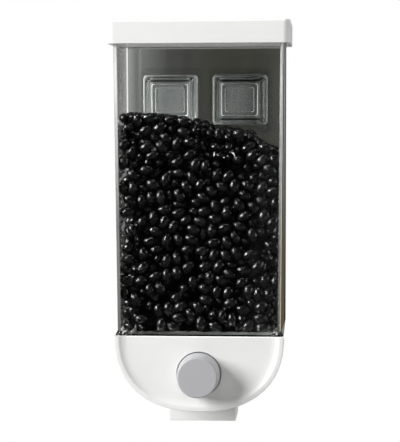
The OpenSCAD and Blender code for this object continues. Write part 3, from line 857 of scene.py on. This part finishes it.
tries, half_a_bean = 40000, 3
places = random.uniform(store_low, store_high, (tries, 3))
places = places[places[:, 2] < heap_top(places[:, 0]) - half_a_bean]
in_shell = np.linalg.norm(kept_in(places) - places, axis=1) < 0.5
centres = places[in_shell][:bean_count]
lengths = unit(random.normal(size=(len(centres), 3)))
settling_steps, steps_to_look, eagerness = 80, 5, 1.5
for step in range(settling_steps):
    if step % steps_to_look == 0:
        near_by = KDTree(len(centres))
        for i, centre in enumerate(centres):
            near_by.insert(centre, i)
        near_by.balance()
        within = 2 * (bean_girth + bean_reach) + 1
        pairs = np.array([
            (i, j) for i, centre in enumerate(centres)
            for place, j, distance in near_by.find_range(centre, within) if j > i])
    balls = np.stack((centres + bean_reach * lengths, centres - bean_reach * lengths), 1)
    move, hits = np.zeros_like(balls), np.ones(balls.shape[:2])
    for a in (0, 1):
        for b in (0, 1):
            apart = balls[pairs[:, 0], a] - balls[pairs[:, 1], b]
            gap = np.linalg.norm(apart, axis=1)
            lap = np.maximum(2 * bean_girth - gap, 0)
            push = apart / gap[:, None] * lap[:, None] / 2
            np.add.at(move[:, a], pairs[:, 0], push)
            np.add.at(move[:, b], pairs[:, 1], -push)
            np.add.at(hits[:, a], pairs[:, 0], 0.5 * (lap > 0))
            np.add.at(hits[:, b], pairs[:, 1], 0.5 * (lap > 0))
    balls = kept_in(balls + eagerness * move / hits[..., None])
    centres = balls.mean(1)
    lengths = unit(balls[:, 0] - balls[:, 1])

    # Those next to the front pane lean on it and turn along it.
    at_pane = centres[:, 1] < store_low[1] + 5.5
    centres[at_pane, 1] -= 0.3
    lengths[at_pane, 1] *= 0.7
    lengths = unit(lengths)

# One low ball is shaped into every bean, a little longer or shorter each time.
bean_half, kidney_bend = np.array((5.0, 3.6, 3.3)), 0.12
bpy.ops.object.select_all(action="DESELECT")
bpy.ops.mesh.primitive_uv_sphere_add(
    segments=8, ring_count=6, radius=1, rotation=(0, math.radians(90), 0))
seed = bpy.context.object
bpy.ops.object.transform_apply(rotation=True)
ball = np.array([v.co for v in seed.data.vertices])
ball_faces = [tuple(f.vertices) for f in seed.data.polygons]
bpy.data.objects.remove(seed)
ball[:, 2] *= 1 - kidney_bend * ball[:, 0] ** 2
corners, faces = [], []
for i, (centre, length) in enumerate(zip(centres, lengths)):
    against_pane = centre[1] < store_low[1] + 6
    flat_side = (0, 1, 0) if against_pane else random.normal(size=3)
    wide = unit(np.cross(length, flat_side + random.normal(0, 0.3, 3)))
    axes = np.stack((length, wide, np.cross(length, wide)), 1)
    size = bean_half * np.clip(random.normal(1, 0.05), 0.9, 1.1)
    corners.append((ball * size) @ axes.T + centre)
    faces += [tuple(k + i * len(ball) for k in face) for face in ball_faces]
beans_mesh = bpy.data.meshes.new("beans")
beans_mesh.from_pydata(np.vstack(corners) * mm, [], faces)
beans = bpy.data.objects.new("beans", beans_mesh)
scene.collection.objects.link(beans)
pick_all(beans)
bpy.ops.mesh.normals_make_consistent(inside=False)
seat(beans, "dispenser", "grey_plastic", bean_black, smooth=180)

# The dark heart of the heap fills what the layers of beans leave open: black like the beans, and
# matte, as painted shade in the gaps between them.
heap_dark = moulded("heap_dark", (0.003, 0.003, 0.003), 0.8, mottle=0.5)
heap_dark.node_tree.nodes["Principled BSDF"].inputs["Specular IOR Level"].default_value = 0
heap_low, heap_high = (-43, -56.5, -158), (43, -18.5, -40)
heap = block("bean_heap", heap_low, heap_high)
pick(heap, "FACE", lambda c, n: True)
bpy.ops.mesh.subdivide(number_cuts=24)
bpy.ops.transform.vertex_random(offset=1.5 * mm, seed=3)
seat(heap, "dispenser", "grey_plastic", heap_dark, smooth=180)

# Wall hooks and their adhesive films
# Two clear hooks, each on a square of clear film stuck to the wall. The tank's keyhole
# pockets drop over their heads, so that it lifts off for washing.
film_clear, tree, film = new_finish("film_clear")
film.inputs["IOR"].default_value = 1.45
cloud = noise(tree, place_on(tree), 90)
milk = ramp(tree, cloud, ((0.0, (0.50, 0.52, 0.51)), (1.0, (0.66, 0.68, 0.67))))
tree.links.new(milk, film.inputs["Base Color"])
tree.links.new(between(tree, cloud, 0, 1, 0.05, 0.14), film.inputs["Roughness"])
clear = tree.nodes.new("ShaderNodeBsdfTransparent")
clear.inputs["Color"].default_value = (0.95, 0.96, 0.96, 1)
body = between(tree, grazing(tree, blend=0.35), 0, 1, 0.06, 0.75)
show_mix(tree, body, clear.outputs[0], film.outputs[0])
for side in ("left", "right"):
    for kind, softness in (("wall_film", 0.1), ("wall_hook", 0.3)):
        node = side + "_" + kind
        piece = dressed_copy(node + "_clear", node)
        soften(piece, softness, angle=50)
        seat(piece, "wall_hooks", "clear_film", film_clear, node)

# Return spring
# Steel wire wound round the gate's and the funnel's pegs. It pushes the gate and the button
# back, and its coils close up when the button is pressed, though this coil is made at one length
# only.
steel, tree, metal = new_finish("spring_steel")
metal.inputs["Metallic"].default_value = 1.0
drawn = noise(tree, place_on(tree), 700)
tree.links.new(between(tree, drawn, 0, 1, 0.22, 0.4), metal.inputs["Roughness"])
steel_grey = mixed(tree, drawn, (0.55, 0.56, 0.58), (0.68, 0.69, 0.70))
tree.links.new(steel_grey, metal.inputs["Base Color"])
spring_z, coil_r, wire_r, turns = -187.9, 3.6, 0.4, 7
spring_low, spring_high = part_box("return_spring")
spring_run = (spring_high.y - spring_low.y) / mm - 2 * wire_r
bpy.ops.object.select_all(action="DESELECT")
bpy.ops.mesh.primitive_circle_add(
    vertices=12, radius=wire_r * mm, fill_type="NGON", rotation=upright,
    location=(coil_r * mm, 0, 0))
spring = bpy.context.object
spring.name = spring.data.name = "spring_coil"
done(spring)
finish_with(
    spring, "SCREW", axis="Z", angle=2 * math.pi, screw_offset=spring_run / turns * mm,
    iterations=turns, steps=28, render_steps=28)
spring.matrix_world = (
    Matrix.Translation((0, spring_high.y - wire_r * mm, spring_z * mm))
    @ Matrix.Rotation(math.radians(90), 4, "X")
)
seat(spring, "dispenser", "steel", steel, "return_spring")
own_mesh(spring)

# Pieces that keep their CAD shape
# The funnel, gate, guide, stem, gasket and screws inside the base, and the lid's liner and
# seal, whose plain moulded forms are right as they are.
soft_white = moulded("silicone_white", (0.80, 0.79, 0.75), 0.55, mottle=0.08)
for node, material, slot in (
    ("neck_gasket", soft_white, "silicone"),
    ("lid_seal", soft_white, "silicone"),
    ("hopper_funnel", white, "white_plastic"),
    ("gate_guide", white, "white_plastic"),
    ("gate_slider", white, "white_plastic"),
    ("button_stem", white, "white_plastic"),
    ("lid_liner", lid_white, "lid_plastic"),
    ("fascia_screws", steel, "steel"),
    ("button_screw", steel, "steel"),
):
    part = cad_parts[node]
    part.data.materials.clear()
    part.data.materials.append(material)
